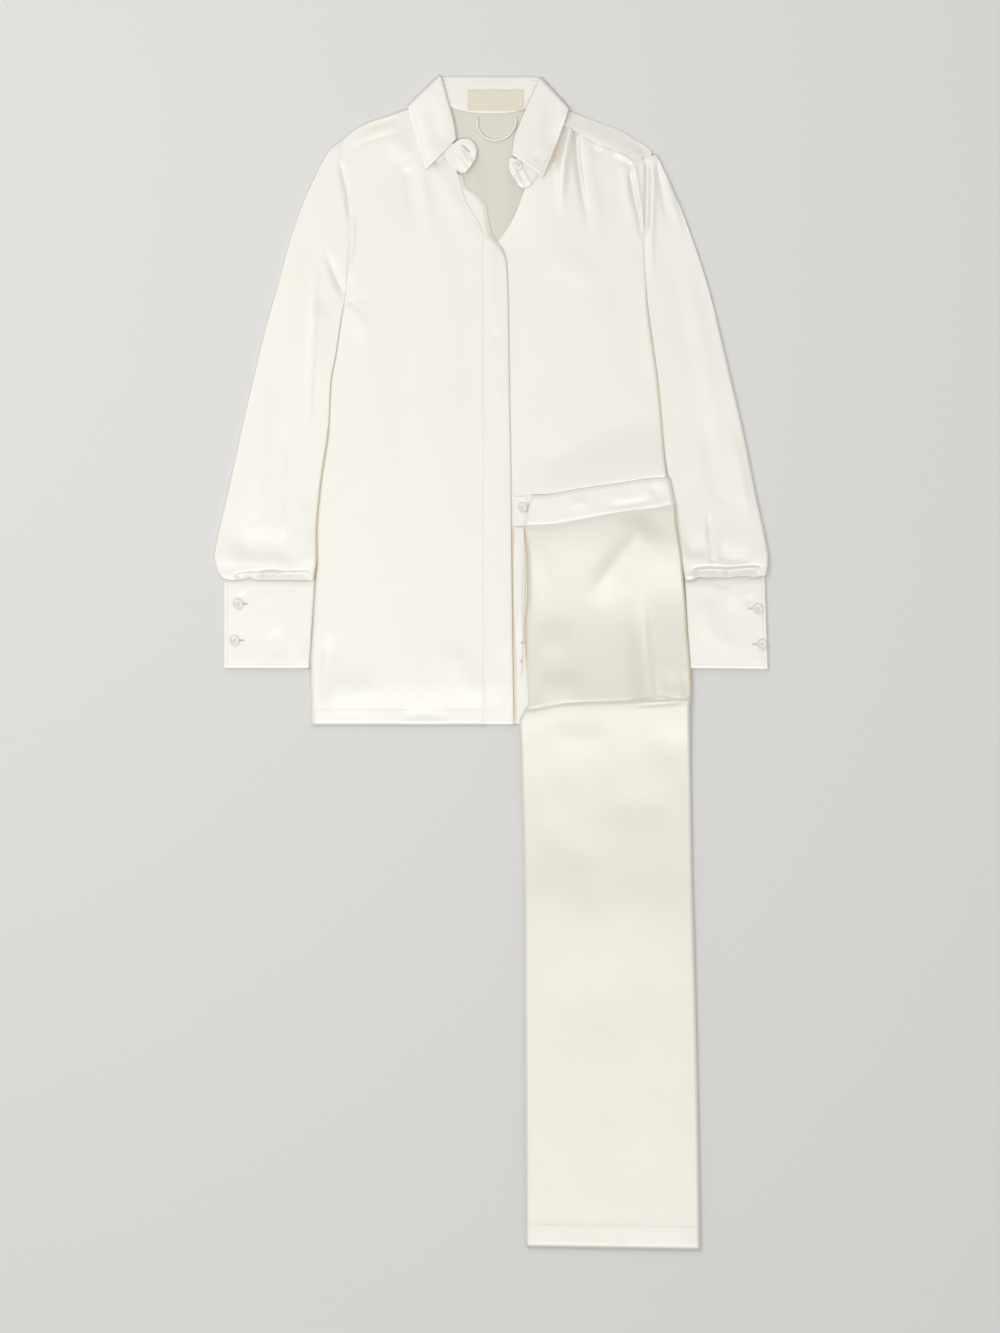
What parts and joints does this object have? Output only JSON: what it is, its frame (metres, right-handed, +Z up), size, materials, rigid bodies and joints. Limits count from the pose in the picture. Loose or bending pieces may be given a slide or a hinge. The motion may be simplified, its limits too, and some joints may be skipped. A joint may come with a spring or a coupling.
{
  "type": "pyjama set laid flat",
  "caption": "Flat-laid satin pyjama set: a long shirt with a turned-down collar, concealed placket and deep cuffs, and wide trousers folded lengthwise over its front.",
  "frame": {"origin": "under the middle of the set's box, on the surface that it lies on", "axes": "+X across the shirt towards the sleeve beside the trousers, +Y from the trouser hem to the collar, +Z up from the surface"},
  "size_m": [0.6653, 1.4086, 0.0116],
  "materials": {
    "satin": "satin",
    "label": "matte",
    "button": "gloss"
  },
  "bodies": {
    "root": {"shirt_back": "satin", "shirt_yoke": "satin", "shirt_front_left": "satin", "shirt_front_right": "satin", "shirt_placket": "satin", "collar_stand": "satin", "collar_leaf": "satin", "neck_label": "label", "hanger_loop": "satin", "sleeve_left": "satin", "sleeve_right": "satin", "cuff_left": "satin", "cuff_right": "satin", "cuff_button_left_upper": "button", "cuff_button_left_lower": "button", "cuff_button_right_upper": "button", "cuff_button_right_lower": "button", "collar_button": "button", "trousers_leg": "satin", "trousers_hidden_layers": "satin", "trousers_waistband": "satin", "trousers_waist_underlap": "satin", "trousers_fly_underlap": "satin", "waist_button": "button"}
  },
  "joints": []
}
